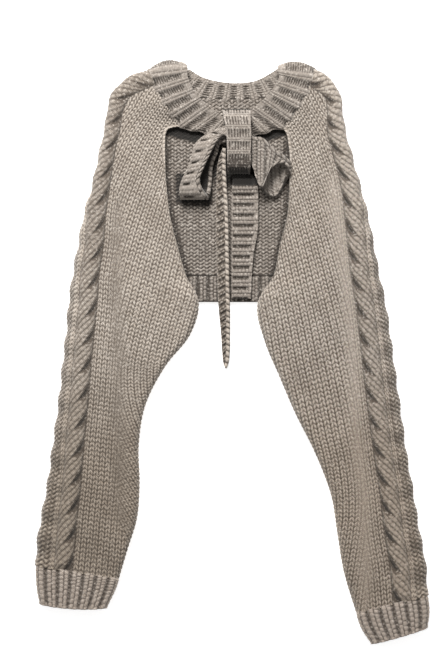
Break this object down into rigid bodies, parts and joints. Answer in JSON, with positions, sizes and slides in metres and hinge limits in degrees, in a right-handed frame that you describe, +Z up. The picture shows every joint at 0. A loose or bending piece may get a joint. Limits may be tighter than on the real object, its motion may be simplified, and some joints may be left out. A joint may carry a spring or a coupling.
{
  "type": "knitted shrug",
  "caption": "Cropped chunky-knit shrug laid flat, with long cabled sleeves, ribbed cuffs and hem, and a ribbed neckband tied in a bow over an open front.",
  "frame": {"origin": "middle of the back panel, on the surface that the garment lies on", "axes": "+X across the garment towards its right sleeve as seen from above, +Y towards the neck, +Z up from the surface"},
  "size_m": [0.509, 0.7583, 0.029],
  "materials": {
    "plain_knit": "soft heathered taupe yarn, stockinette and cables, matt",
    "rib_knit": "soft heathered taupe yarn, two-by-two rib, matt"
  },
  "bodies": {
    "root": {"left_sleeve": "plain_knit", "right_sleeve": "plain_knit", "back_panel": "plain_knit", "left_cuff": "rib_knit", "right_cuff": "rib_knit", "back_hem": "rib_knit", "neckband": "rib_knit", "tie_knot": "rib_knit", "left_loop": "rib_knit", "right_loop": "rib_knit", "left_tail": "rib_knit", "right_tail": "rib_knit"}
  },
  "joints": []
}
